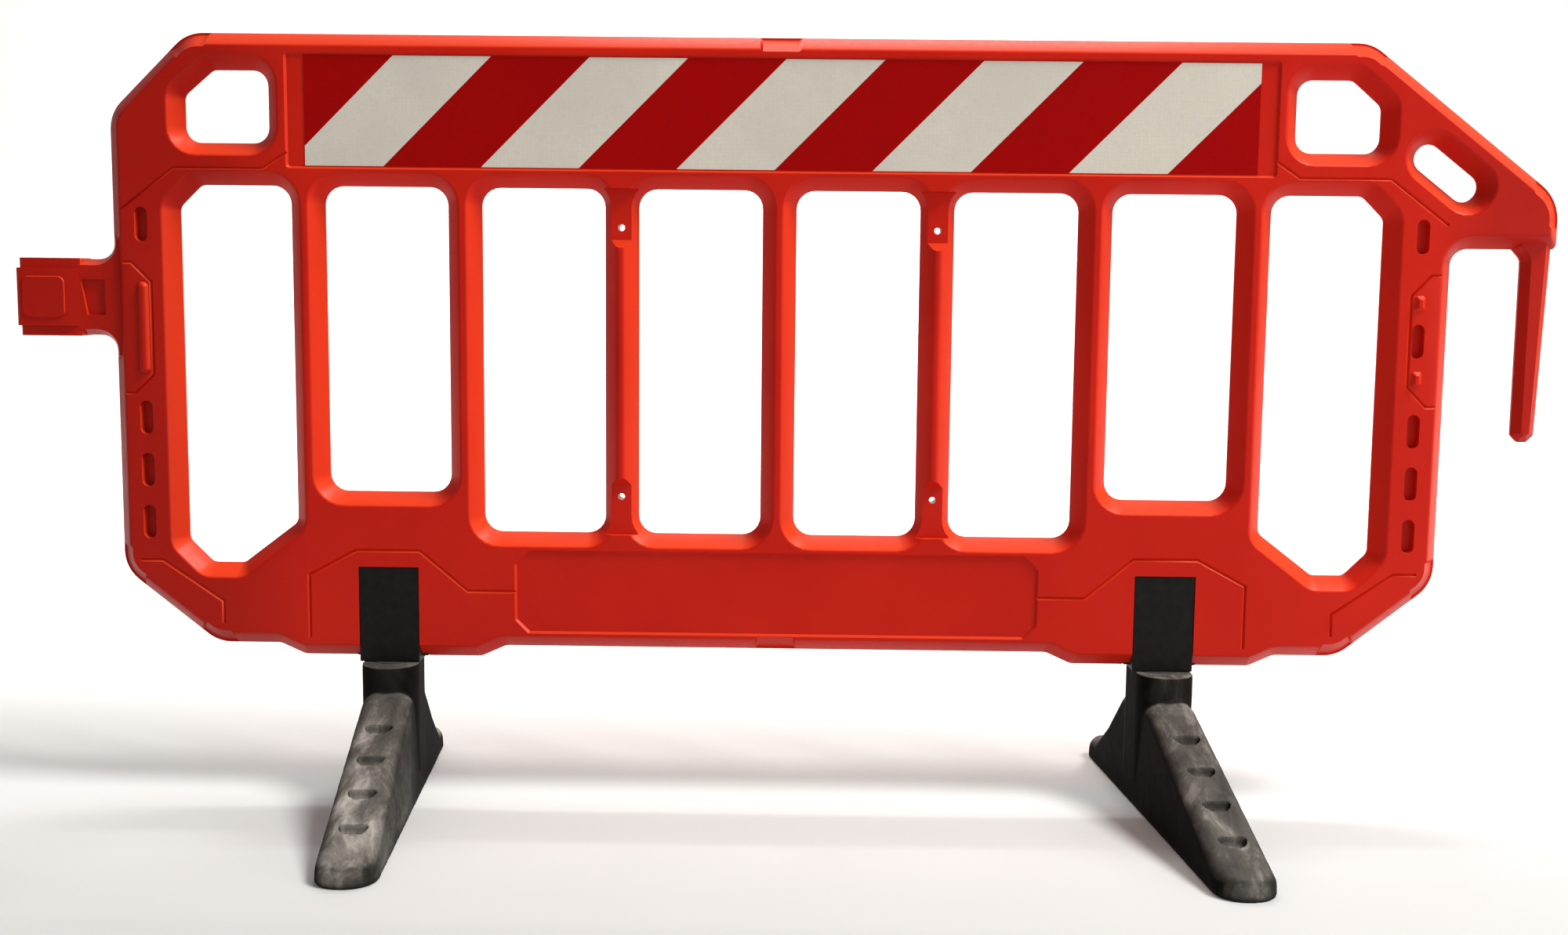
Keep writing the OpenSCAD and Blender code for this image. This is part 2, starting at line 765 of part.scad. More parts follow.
// Dents in the slope: round some corners and at the middle of the top and lower edges
module dent_cuts() {
    n = len(panel_corners);
    for (i = dent_corners) {
        arc = corner_arc(panel_corners[(i + n - 1) % n], panel_corners[i], panel_corners[(i + 1) % n], 0);
        u = unit(flat(panel_corners[i]) - flat(panel_corners[(i + n - 1) % n]));
        v = unit(flat(panel_corners[(i + 1) % n]) - flat(panel_corners[i]));
        turn = atan2(cross_z(u, v), u * v);
        outs = [for (k = [0 : arc_steps]) let (a = turn * k / arc_steps, r = right_of(u))
            [r[0] * cos(a) - r[1] * sin(a), r[0] * sin(a) + r[1] * cos(a)]];
        skin([dent_ring(arc[0] - u * (dent_run + dent_ramp), outs[0], -over),
              dent_ring(arc[0] - u * dent_run, outs[0], dent_d),
              for (k = [0 : arc_steps]) dent_ring(arc[k], outs[k], dent_d),
              dent_ring(arc[arc_steps] + v * dent_run, outs[arc_steps], dent_d),
              dent_ring(arc[arc_steps] + v * (dent_run + dent_ramp), outs[arc_steps], -over)]);
    }
    for (edge = [[panel_top, -1], [panel_bottom, 1]]) {
        half = middle_dent_l / 2;
        out = [0, -edge[1]];
        stops = [[-half - dent_ramp, -over], [-half, dent_d], [half, dent_d], [half + dent_ramp, -over]];
        skin([for (stop = stops) dent_ring([edge[1] * stop[0], edge[0]], out, stop[1])]);
    }
}

module hexagon(af, h) {
    cylinder(d = af / cos(180 / 6), h = h, $fn = 6);
}

module place() {
    translate([place_x, place_y, 0]) children();
}

module panel() {
    color("#c32a1c") place() {
        difference() {
            union() {
                plate(panel_corners, panel_t, edge_w, edge_land, edge_soft);
                lug();
                prong();
                nubs();
                both_faces() lug_rib();
            }
            window_cuts();
            arm_slot_cut();
            lug_socket();
            both_faces() {
                web_pocket();
                recess(box_corners(-recess_x, recess_x, recess_low, recess_high, recess_r), recess_d);
                recess(board_corners, recess_d);
                slot_cuts();
                line_cuts();
                dent_cuts();
            }
            pad_cuts();
            notch_cuts();
        }
    }
}

// White bands of the sheeting as a flat pattern, clipped to the sheet
module white_bands() {
    intersection() {
        translate([-sheet_x, sheet_low]) square([2 * sheet_x, sheet_h]);
        for (i = [0 : band_count - 1]) {
            x = (i - (band_count - 1) / 2) * band_pitch - band_pitch / 4;
            polygon([[x - lean_x / 2, sheet_low], [x - lean_x / 2 + band_pitch / 2, sheet_low],
                     [x + lean_x / 2 + band_pitch / 2, sheet_high], [x + lean_x / 2, sheet_high]]);
        }
    }
}

module sheet_layer() {
    place()
        translate([0, -half_t + recess_d, 0])
            rotate([90, 0, 0])
                linear_extrude(sheet_t)
                    children();
}

module red_sheeting() {
    color("#9c0f0d") sheet_layer()
        difference() {
            translate([-sheet_x, sheet_low]) square([2 * sheet_x, sheet_h]);
            white_bands();
        }
}

module white_sheeting() {
    color("#c4c0b6") sheet_layer() white_bands();
}

module at_pivot(side) {
    place() translate([side * post_x, 0, 0]) children();
}

// Post: a block that slides up into the panel's notch, with a round spigot below
module post(side) {
    w = notch_w - 2 * post_gap;
    t = panel_t - 2 * post_set;
    color("#201e1d") at_pivot(side)
        difference() {
            union() {
                translate([-w / 2, -t / 2, post_low]) cube([w, t, post_top - post_low]);
                translate([-w / 2 - tongue_d, -tongue_w / 2, boss_z])
                    cube([w + 2 * tongue_d, tongue_w, post_top - boss_z]);
                translate([0, 0, spigot_low]) cylinder(d = spigot_d, h = post_low + over - spigot_low);
            }
            translate([0, 0, spigot_low - over])
                cylinder(d = bolt_d + 2 * bolt_hole_gap, h = post_top - spigot_low + 2 * over);
        }
}
module post_left() { post(-1); }
module post_right() { post(1); }

// Rounded end of a foot: sections [y, half width, height] from the tip inwards
function end_sections(reach, r, sign) =
    [for (k = [0 : nose_steps])
        let (a = 90 * k / nose_steps)
        [sign * (reach - r + r * cos(a)), foot_w / 2 - r + r * sin(a),
         nose_h * (nose_share + (1 - nose_share) * sin(a))]];

function foot_sections() = concat(
    end_sections(toe_reach, toe_r, -1),
    [[neck_front, foot_w / 2, toe_ledge_h],
     [neck_back, foot_w / 2, heel_ledge_h],
     [(neck_back + heel_lip_y) / 2, foot_w / 2, (heel_ledge_h + heel_lip_h) / 2 - heel_hollow],
     [heel_lip_y, foot_w / 2, heel_lip_h]],
    [for (i = [nose_steps : -1 : 0]) end_sections(heel_reach, heel_r, 1)[i]]);

function foot_ring(s) =
    let (top = s[1] - s[2] * draft_share,
         r = min(foot_top_r, top - least_r, s[2] * top_r_share))
    at_y(outline([[-s[1], 0, sole_r], [s[1], 0, sole_r], [top, s[2], r], [-top, s[2], r]]), s[0]);

// Half-round grip pocket with a level floor, cut into a slope that falls towards its round side
module grip(y, z) {
    translate([0, y, z])
        intersection() {
            cylinder(r = grip_r, h = toe_ledge_h);
            translate([-grip_r, -grip_r, 0]) cube([2 * grip_r, grip_r, toe_ledge_h]);
        }
}

// Foot: a crowned wedge falling to toe and heel from an upright neck
module foot(side, turn) {
    toe_fall = (toe_ledge_h - nose_h) / (toe_reach - toe_r + neck_front);
    heel_fall = (heel_ledge_h - heel_lip_h) / (heel_lip_y - neck_back);
    heel_slope_h = heel_ledge_h - heel_hollow;
    color("#4a4541") at_pivot(side) rotate([0, 0, turn])
        difference() {
            union() {
                skin([for (s = foot_sections()) foot_ring(s)]);
                translate([0, -neck_lead, nose_h])
                    linear_extrude(neck_h - nose_h) {
                        square([foot_w, neck_l - foot_w], center = true);
                        for (end = [-1, 1])
                            translate([0, end * (neck_l - foot_w) / 2]) circle(d = foot_w);
                    }
            }
            for (i = [0 : toe_grips - 1]) {
                y = -first_grip - i * grip_pitch;
                grip(y, toe_ledge_h + (y - grip_r - neck_front) * toe_fall - grip_depth);
            }
            for (i = [0 : heel_grips - 1]) {
                y = heel_grip + i * grip_pitch;
                rotate([0, 0, 180])
                    grip(-y, heel_slope_h - (y + grip_r - neck_back) * heel_fall - grip_depth);
            }
            translate([0, 0, -over]) cylinder(d = washer_d + 2 * well_gap, h = spigot_low + end_gap + over);
            cylinder(d = bush_d, h = neck_h + over);
            translate([0, 0, neck_h - flange_t]) cylinder(d = flange_d, h = flange_t + over);
            sole_reliefs();
        }
}
module foot_left() { foot(-1, left_turn); }
module foot_right() { foot(1, right_turn); }

// Shallow hollows in the sole between its rims and the well of the pivot
module sole_reliefs() {
    w = foot_w - 2 * sole_rim;
    for (span = [[-toe_reach + toe_r + sole_rim, -sole_pad], [sole_pad, heel_reach - heel_r - sole_rim]])
        translate([-w / 2, span[0], -over]) cube([w, span[1] - span[0], sole_relief + over]);
}

// Flanged plain bearing bush, fixed in the foot
module bush(side) {
    color("#454341") at_pivot(side)
        difference() {
            union() {
                translate([0, 0, spigot_low + end_gap])
                    cylinder(d = bush_d, h = neck_h - spigot_low - end_gap);
                translate([0, 0, neck_h - flange_t]) cylinder(d = flange_d, h = flange_t);
            }
            translate([0, 0, spigot_low - over]) cylinder(d = bush_bore_d, h = spigot_l + 2 * over);
        }
}
module bush_left() { bush(-1); }
module bush_right() { bush(1); }

module pivot_bolt(side) {
    color("#a9a9a6") at_pivot(side) {
        translate([0, 0, head_top]) cylinder(d = bolt_d, h = bolt_l);
        translate([0, 0, head_top - head_h]) hexagon(head_af, head_h);
    }
}
module pivot_bolt_left() { pivot_bolt(-1); }
module pivot_bolt_right() { pivot_bolt(1); }

// Washer wider than the spigot: it is clamped to the spigot and keeps the foot from dropping off
module retaining_washer(side) {
    color("#b4b4b0") at_pivot(side)
        translate([0, 0, head_top])
            difference() {
                cylinder(d = washer_d, h = washer_t);
                translate([0, 0, -over]) cylinder(d = bolt_d + 2 * bolt_hole_gap, h = washer_t + 2 * over);
            }
}
module retaining_washer_left() { retaining_washer(-1); }
module retaining_washer_right() { retaining_washer(1); }

// Threaded insert moulded into the roof of the notch
module threaded_insert(side) {
    color("#b08d4a") at_pivot(side)
        translate([0, 0, notch_roof])
            difference() {
                hexagon(insert_af, insert_l);
                translate([0, 0, -over]) cylinder(d = insert_bore_d, h = insert_l + 2 * over);
            }
}
module threaded_insert_left() { threaded_insert(-1); }
module threaded_insert_right() { threaded_insert(1); }

panel();
red_sheeting();
white_sheeting();
post_left();
post_right();
foot_left();
foot_right();
bush_left();
bush_right();
pivot_bolt_left();
pivot_bolt_right();
retaining_washer_left();
retaining_washer_right();
threaded_insert_left();
threaded_insert_right();
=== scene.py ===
# %% [markdown]
# A pedestrian barrier panel: one red moulding with barred windows, a striped reflective board,
# and two rubber feet that swivel on posts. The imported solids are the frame. This lesson gives them
# soft moulded edges, real finishes, a pale floor, studio light and the camera of the photograph.

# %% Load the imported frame
import math

import bmesh
import bpy
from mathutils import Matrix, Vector
from mathutils.bvhtree import BVHTree


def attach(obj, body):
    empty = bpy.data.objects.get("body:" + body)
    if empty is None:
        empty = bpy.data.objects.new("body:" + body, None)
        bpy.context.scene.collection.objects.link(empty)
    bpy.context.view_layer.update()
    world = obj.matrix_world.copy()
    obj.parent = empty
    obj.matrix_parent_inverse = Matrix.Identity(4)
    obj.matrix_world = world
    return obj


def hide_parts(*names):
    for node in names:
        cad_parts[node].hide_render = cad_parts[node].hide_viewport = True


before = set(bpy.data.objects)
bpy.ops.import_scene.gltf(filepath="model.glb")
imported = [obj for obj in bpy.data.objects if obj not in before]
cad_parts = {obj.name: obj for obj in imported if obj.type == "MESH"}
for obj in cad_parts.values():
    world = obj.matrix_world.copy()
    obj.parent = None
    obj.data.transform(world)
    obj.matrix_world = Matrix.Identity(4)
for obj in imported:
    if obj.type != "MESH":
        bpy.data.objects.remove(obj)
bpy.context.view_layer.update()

MM = 0.001

# %% [markdown]
# The camera comes first, because every later choice is judged through it. Its place, its tilt of a
# few degrees and its lens were worked out by fitting the panel's edges and feet to the picture.

# %% Camera
CAMERA_PLACE = (0.02512, -2.13755, 0.69422)
CAMERA_TURN_DEG = (83.562, -0.602, 0.667)
LENS_MM = 38.715
SENSOR_MM = 36.0

camera_data = bpy.data.cameras.new("photo_camera")
camera_data.lens = LENS_MM
camera_data.sensor_width = SENSOR_MM
camera_data.sensor_fit = "HORIZONTAL"
camera = bpy.data.objects.new("photo_camera", camera_data)
camera.location = CAMERA_PLACE
camera.rotation_euler = [math.radians(a) for a in CAMERA_TURN_DEG]
bpy.context.scene.collection.objects.link(camera)
bpy.context.scene.camera = camera
print("camera at", CAMERA_PLACE, "with a lens of", LENS_MM, "mm")

# %% [markdown]
# Four helpers serve every material. The first turns an sRGB hex colour into the linear values that
# shaders use. The second adds one node with its settings, links and colour stops. The third starts
# a material. The last turns a real size into the scale of a pattern.

# %% Helpers for materials
MIX_A, MIX_B, MIX_OUT = 6, 7, 2  # the colour sockets of a Mix node


def linear(hex_colour):
    parts = [int(hex_colour[i:i + 2], 16) / 255 for i in (1, 3, 5)]
    return [p / 12.92 if p <= 0.04045 else ((p + 0.055) / 1.055) ** 2.4 for p in parts] + [1.0]


def add(tree, kind, sockets=None, stops=(), **settings):
    made = tree.nodes.new(kind)
    for name, value in settings.items():
        setattr(made, name, value)
    for name, value in (sockets or {}).items():
        if isinstance(value, bpy.types.NodeSocket):
            tree.links.new(value, made.inputs[name])
        else:
            made.inputs[name].default_value = value
    for i, (position, colour) in enumerate(stops):
        points = made.color_ramp.elements
        point = points[i] if i < 2 else points.new(position)
        point.position = position
        point.color = linear(colour)
    return made


def start_material(name, **constants):
    material = bpy.data.materials.new(name)
    material.use_nodes = True
    tree = material.node_tree
    shader = tree.nodes["Principled BSDF"]
    for socket, value in constants.items():
        shader.inputs[socket.replace("_", " ")].default_value = value
    place = tree.nodes.new("ShaderNodeTexCoord").outputs["Object"]
    return material, tree, shader, place


def per_metre(size_mm):
    return 1 / (size_mm * MM)


# %% [markdown]
# Red blow-moulded polyethylene. The mould leaves a satin skin with a fine orange peel and slow waves
# where the wall cooled unevenly. The slopes that face the key light are painted a more orange red as
# painted light, and handling leaves faint pale rubs. Both ends are painted a darker, deeper red. The
# eye sees deep red faces with brighter edges above and on the right. The colour is built up from slow
# patches, then the darker ends, then the painted light, then rubs.

# %% Colour of the blow-moulded polyethylene
# Faces turned towards the key light are painted a paler, more orange red: painted light.
KEY_LIGHT_WARD = (0.57, 0.0, 0.82)
red_hdpe, tree, shader, place = start_material("blow_moulded_hdpe_red", IOR=1.51,
                                               Specular_IOR_Level=0.13)
patches = add(tree, "ShaderNodeTexNoise", {"Vector": place, "Scale": per_metre(220), "Detail": 3.0})
face_tone = add(tree, "ShaderNodeValToRGB", {"Fac": patches.outputs["Fac"]},
                stops=[(0.35, "#bf1808"), (0.7, "#cb1f0b")])
along = add(tree, "ShaderNodeSeparateXYZ", {"Vector": place}).outputs["X"]
# Both ends are painted a darker, deeper red.
lug_end = add(tree, "ShaderNodeMapRange", {"Value": along, "From Min": -0.62, "From Max": -0.74,
                                           "To Max": 0.5})
hook_end = add(tree, "ShaderNodeMapRange", {"Value": along, "From Min": 0.84, "From Max": 0.92,
                                            "To Max": 0.45})
darker_ends = add(tree, "ShaderNodeMath", {0: lug_end.outputs["Result"], 1: hook_end.outputs["Result"]},
              operation="MAXIMUM")
ends_darkened_tone = add(tree, "ShaderNodeMix",
                 {"Factor": darker_ends.outputs["Value"], MIX_A: face_tone.outputs["Color"],
                  MIX_B: linear("#8a0d04")}, data_type="RGBA")
facing = add(tree, "ShaderNodeTexCoord").outputs["Normal"]
# Painted light: the more a face turns to the key light, the paler and more orange it is painted.
key_light_facing = add(tree, "ShaderNodeVectorMath", {0: facing, 1: KEY_LIGHT_WARD}, operation="DOT_PRODUCT")
painted_light_share = add(tree, "ShaderNodeMapRange", {"Value": key_light_facing.outputs["Value"], "From Min": 0.2,
                                         "From Max": 0.65})
tone_with_painted_light = add(tree, "ShaderNodeMix",
                {"Factor": painted_light_share.outputs["Result"], MIX_A: ends_darkened_tone.outputs[MIX_OUT],
                 MIX_B: linear("#d83a17")}, data_type="RGBA")
stretch = add(tree, "ShaderNodeMapping", {"Vector": place, "Scale": (1.0, 1.0, 0.18)})
rubs = add(tree, "ShaderNodeTexNoise",
           {"Vector": stretch.outputs["Vector"], "Scale": per_metre(9), "Detail": 5.0, "Roughness": 0.7})
rub_share = add(tree, "ShaderNodeValToRGB", {"Fac": rubs.outputs["Fac"]},
                stops=[(0.66, "#000000"), (0.9, "#6a6a6a")])
rubbed = add(tree, "ShaderNodeMix",
             {"Factor": rub_share.outputs["Color"], MIX_A: tone_with_painted_light.outputs[MIX_OUT],
              MIX_B: linear("#d8503c")}, data_type="RGBA")
tree.links.new(rubbed.outputs[MIX_OUT], shader.inputs["Base Color"])
print("coloured", red_hdpe.name)

# %% [markdown]
# The same skin seen close: it is duller where it is rubbed, with orange peel on top of the slow waves.
# The real orange peel is about 1 mm across; 3 mm is as fine as shows from this far.

# %% Gloss and relief of the polyethylene
gloss = add(tree, "ShaderNodeMapRange", {"Value": rubs.outputs["Fac"], "From Min": 0.3, "From Max": 0.8,
                                         "To Min": 0.32, "To Max": 0.48})
tree.links.new(gloss.outputs["Result"], shader.inputs["Roughness"])
peel = add(tree, "ShaderNodeTexNoise", {"Vector": place, "Scale": per_metre(3), "Detail": 2.0})
peel_bump = add(tree, "ShaderNodeBump", {"Height": peel.outputs["Fac"], "Strength": 0.06,
                                         "Distance": 0.4 * MM})
waves = add(tree, "ShaderNodeTexNoise", {"Vector": place, "Scale": per_metre(90), "Detail": 1.0})
wave_bump = add(tree, "ShaderNodeBump", {"Height": waves.outputs["Fac"], "Strength": 0.2, "Distance": 3 * MM,
                                         "Normal": peel_bump.outputs["Normal"]})
tree.links.new(wave_bump.outputs["Normal"], shader.inputs["Normal"])
print("gave", red_hdpe.name, "its gloss and relief")

# %% [markdown]
# Retroreflective sheeting is a clear film over a sheet of tiny prisms. By daylight the white bands
# look a warm grey and the red ones deep and dark. Dirt lies on it in slow clouds, and the net of the
# prism cells only just shows.

# %% Retroreflective sheeting
def sheeting(name, clean, dirty, net):
    material, tree, shader, place = start_material(name, IOR=1.5, Specular_IOR_Level=0.06)
    soil = add(tree, "ShaderNodeTexNoise", {"Vector": place, "Scale": per_metre(110), "Detail": 5.0})
    film = add(tree, "ShaderNodeValToRGB", {"Fac": soil.outputs["Fac"]},
               stops=[(0.3, clean), (0.75, dirty)])
    # A real cell is about 3 mm across; 5 mm is as fine as shows from this far.
    cells = add(tree, "ShaderNodeTexVoronoi", {"Vector": place, "Scale": per_metre(5), "Randomness": 0.15},
                feature="DISTANCE_TO_EDGE")
    inside = add(tree, "ShaderNodeMapRange", {"Value": cells.outputs["Distance"], "From Max": 0.12,
                                              "To Min": 0.6, "To Max": 1.0})
    netted = add(tree, "ShaderNodeMix", {"Factor": inside.outputs["Result"], MIX_A: linear(net),
                                         MIX_B: film.outputs["Color"]}, data_type="RGBA")
    tree.links.new(netted.outputs[MIX_OUT], shader.inputs["Base Color"])
    matt = add(tree, "ShaderNodeMapRange", {"Value": soil.outputs["Fac"], "To Min": 0.32, "To Max": 0.52})
    tree.links.new(matt.outputs["Result"], shader.inputs["Roughness"])
    prisms = add(tree, "ShaderNodeBump", {"Height": cells.outputs["Distance"], "Strength": 0.1,
                                          "Distance": 0.3 * MM})
    tree.links.new(prisms.outputs["Normal"], shader.inputs["Normal"])
    print("made", name)
    return material


red_sheet = sheeting("retroreflective_sheeting_red", "#a20303", "#980202", "#8e0202")
white_sheet = sheeting("retroreflective_sheeting_white", "#d8d0c2", "#cbc4b8", "#c2bbaf")

# %% [markdown]
# Recycled rubber is a dark, matt moulding full of crumb. Faces that look up are grey with dust and
# streaky with pale scuffs, and the left foot is paler low down. One pattern gives both tones: the pale
# one of dust and painted light, and the nearly black one of the skin under it.

# %% Dust and skin of the rubber
rubber, tree, shader, place = start_material("recycled_rubber_moulded", IOR=1.5, Specular_IOR_Level=0.02)
own_normal = add(tree, "ShaderNodeTexCoord").outputs["Normal"]
facing = add(tree, "ShaderNodeSeparateXYZ", {"Vector": own_normal})
where = add(tree, "ShaderNodeSeparateXYZ", {"Vector": place})
streak = add(tree, "ShaderNodeMapping", {"Vector": place, "Scale": (1.0, 0.45, 0.6)})
dust = add(tree, "ShaderNodeTexNoise", {"Vector": streak.outputs["Vector"], "Scale": per_metre(38),
                                        "Detail": 9.0, "Roughness": 0.7, "Distortion": 0.4})
# The left foot is painted paler low down.
leftward = add(tree, "ShaderNodeMapRange", {"Value": where.outputs["X"], "From Min": 0.4, "From Max": -0.4,
                                            "To Min": -0.4, "To Max": 1.0})
low_down = add(tree, "ShaderNodeMapRange", {"Value": where.outputs["Z"], "From Min": 0.15, "From Max": 0.08,
                                            "To Min": -0.05, "To Max": 0.08})
paler_left_low = add(tree, "ShaderNodeMath", {0: leftward.outputs["Result"], 1: low_down.outputs["Result"]},
              operation="MULTIPLY")
wear = add(tree, "ShaderNodeMath", {0: dust.outputs["Fac"], 1: paler_left_low.outputs["Value"]}, operation="ADD")
pale_dust_and_light_tone = add(tree, "ShaderNodeValToRGB", {"Fac": wear.outputs["Value"]},
                stops=[(0.34, "#403d3a"), (0.5, "#56524d"), (0.6, "#78736c"), (0.74, "#a8a298")])
skin_tone = add(tree, "ShaderNodeValToRGB", {"Fac": wear.outputs["Value"]},
                stops=[(0.4, "#0c0b0a"), (0.7, "#1a1716")])
print("mixed the tones of", rubber.name)

# %% [markdown]
# Dust lies where a face looks up. The toe's front takes a share of the pale tone, and the toe's right
# flank, which faces the key light, is painted paler: dust streaks together with painted light. The heel,
# in shade under the panel, gets none of this as painted shade, and the edge on the ground is painted
# dark as painted contact shade. The masks use the piece's own directions, so that the dust turns with the
# foot.

# %% Where the dust, the painted light and the painted shade lie
upward = add(tree, "ShaderNodeMapRange", {"Value": facing.outputs["Z"], "From Min": 0.25, "From Max": 0.85})
# Right flanks face the key light and are painted paler: dust streaks together with painted light.
lit_right_flank = add(tree, "ShaderNodeMapRange", {"Value": facing.outputs["X"], "From Min": 0.2, "From Max": 0.9,
                                             "To Max": 0.26})
frontward = add(tree, "ShaderNodeMapRange", {"Value": facing.outputs["Y"], "From Min": -0.5,
                                             "From Max": -0.95, "To Max": 0.85})
sideways = add(tree, "ShaderNodeMath", {0: lit_right_flank.outputs["Result"], 1: frontward.outputs["Result"]},
               operation="MAXIMUM")
# Only the toe takes this share; the heel, shaded under the panel, is left dark as painted shade.
toe = add(tree, "ShaderNodeMapRange", {"Value": where.outputs["Y"], "From Min": 0.03, "From Max": -0.03})
dust_and_painted_light = add(tree, "ShaderNodeMath", {0: sideways.outputs["Value"], 1: toe.outputs["Result"]},
                operation="MULTIPLY")
dust_and_light_share = add(tree, "ShaderNodeMath", {0: upward.outputs["Result"], 1: dust_and_painted_light.outputs["Value"]},
              operation="MAXIMUM")
dust_and_light_tone = add(tree, "ShaderNodeMix", {"Factor": dust_and_light_share.outputs["Value"], MIX_A: skin_tone.outputs["Color"],
                                    MIX_B: pale_dust_and_light_tone.outputs["Color"]}, data_type="RGBA")
# The edge on the ground is painted darker: painted contact shade.
ground_contact_shade = add(tree, "ShaderNodeMapRange", {"Value": where.outputs["Z"], "From Min": 1 * MM,
                                            "From Max": 8 * MM})
contact_shaded_tone = add(tree, "ShaderNodeMix", {"Factor": ground_contact_shade.outputs["Result"], MIX_A: linear("#1f1c1a"),
                                     MIX_B: dust_and_light_tone.outputs[MIX_OUT]}, data_type="RGBA")
tree.links.new(contact_shaded_tone.outputs[MIX_OUT], shader.inputs["Base Color"])
matt = add(tree, "ShaderNodeMapRange", {"Value": dust.outputs["Fac"], "To Min": 0.5, "To Max": 0.85})
tree.links.new(matt.outputs["Result"], shader.inputs["Roughness"])
crumb = add(tree, "ShaderNodeTexNoise", {"Vector": place, "Scale": per_metre(4), "Detail": 4.0})
crumb_bump = add(tree, "ShaderNodeBump", {"Height": crumb.outputs["Fac"], "Strength": 0.25,
                                          "Distance": 0.8 * MM})
tree.links.new(crumb_bump.outputs["Normal"], shader.inputs["Normal"])
print("made", rubber.name)

# %% [markdown]
# The small pieces: a black moulded post, a bush of dark grey nylon, zinc-plated bolts and washers,
# and brass inserts. Each keeps the soft mottling that its moulding, plating or turning gives.

# %% Small finishes
def mottled(name, light, dark, speck_mm, rough, **constants):
    material, tree, shader, place = start_material(name, **constants)
    speck = add(tree, "ShaderNodeTexNoise", {"Vector": place, "Scale": per_metre(speck_mm), "Detail": 4.0})
    tone = add(tree, "ShaderNodeValToRGB", {"Fac": speck.outputs["Fac"]},
               stops=[(0.3, light), (0.7, dark)])
    tree.links.new(tone.outputs["Color"], shader.inputs["Base Color"])
    matt = add(tree, "ShaderNodeMapRange", {"Value": speck.outputs["Fac"], "To Min": rough[0],
                                            "To Max": rough[1]})
    tree.links.new(matt.outputs["Result"], shader.inputs["Roughness"])
    grain = add(tree, "ShaderNodeBump", {"Height": speck.outputs["Fac"], "Strength": 0.1,
                                         "Distance": 0.3 * MM})
    tree.links.new(grain.outputs["Normal"], shader.inputs["Normal"])
    print("made", name)
    return material


black_nylon = mottled("moulded_nylon_black", "#1a1716", "#12100f", speck_mm=12, rough=(0.42, 0.6),
                      IOR=1.53, Specular_IOR_Level=0.12)
bearing_nylon = mottled("moulded_nylon_grey", "#484543", "#3c3a38", speck_mm=6, rough=(0.4, 0.55), IOR=1.53)
zinc_steel = mottled("zinc_plated_steel", "#c2c4c4", "#a6a8a6", speck_mm=3, rough=(0.3, 0.45), Metallic=1.0)
brass = mottled("turned_brass", "#c8a457", "#a98440", speck_mm=3, rough=(0.25, 0.4), Metallic=1.0)

# %% [markdown]
# Every node of the frame now gets its finish. The left and right pieces are pairs and share theirs.

# %% Finish every node
finishes = {"panel": red_hdpe, "red_sheeting": red_sheet, "white_sheeting": white_sheet}
for side in ("left", "right"):
    finishes.update({"post_" + side: black_nylon, "foot_" + side: rubber, "bush_" + side: bearing_nylon,
                     "pivot_bolt_" + side: zinc_steel, "retaining_washer_" + side: zinc_steel,
                     "threaded_insert_" + side: brass})
for name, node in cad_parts.items():
    node.data.materials.clear()
    node.data.materials.append(finishes[name])
print("finished", len(finishes), "nodes")

# %% [markdown]
# A moulding has no sharp edge. The panel, the posts and the feet are copied, and the loose triangles
# of each copy are welded. On the panel and the posts the flat faces are joined again, and then the
# edges that bend sharply are rounded over. Where a round runs into a small feature it can overshoot,
# so such points are set back on the solid's own skin. The copy stands for the solid, which stays in
# the frame unchanged.

# %% Soft edges
WELD_MM = 0.3
FLAT_DEG = 0.8
SHORTEST_EDGE_MM = 0.5
CREASE_DEG = 40
OVERSHOOT = 0.45  # how far off the skin a rounded point may lie, as a share of the round's width


def welded_copy(name, node):
    """A copy of a CAD node with its loose triangles joined, left selected in edit mode."""
    bpy.ops.object.select_all(action="DESELECT")
    piece = bpy.data.objects.new(name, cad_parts[node].data.copy())
    bpy.context.scene.collection.objects.link(piece)
    piece.select_set(True)
    bpy.context.view_layer.objects.active = piece
    bpy.ops.mesh.customdata_custom_splitnormals_clear()
    bpy.ops.object.mode_set(mode="EDIT")
    bpy.ops.mesh.select_all(action="SELECT")
    bpy.ops.mesh.remove_doubles(threshold=WELD_MM * MM)
    return piece


def hand_over(piece, node, body):
    """The piece moves with its body, and its CAD node is hidden."""
    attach(piece, body)
    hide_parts(node)


def unbranched(edges):
    """The edges left when every stretch that ends at a fork or runs out is dropped."""
    while True:
        kept = {edge for edge in edges
                if all(sum(other in edges for other in corner.link_edges) == 2 for corner in edge.verts)}
        if len(kept) == len(edges):
            return kept
        edges = kept


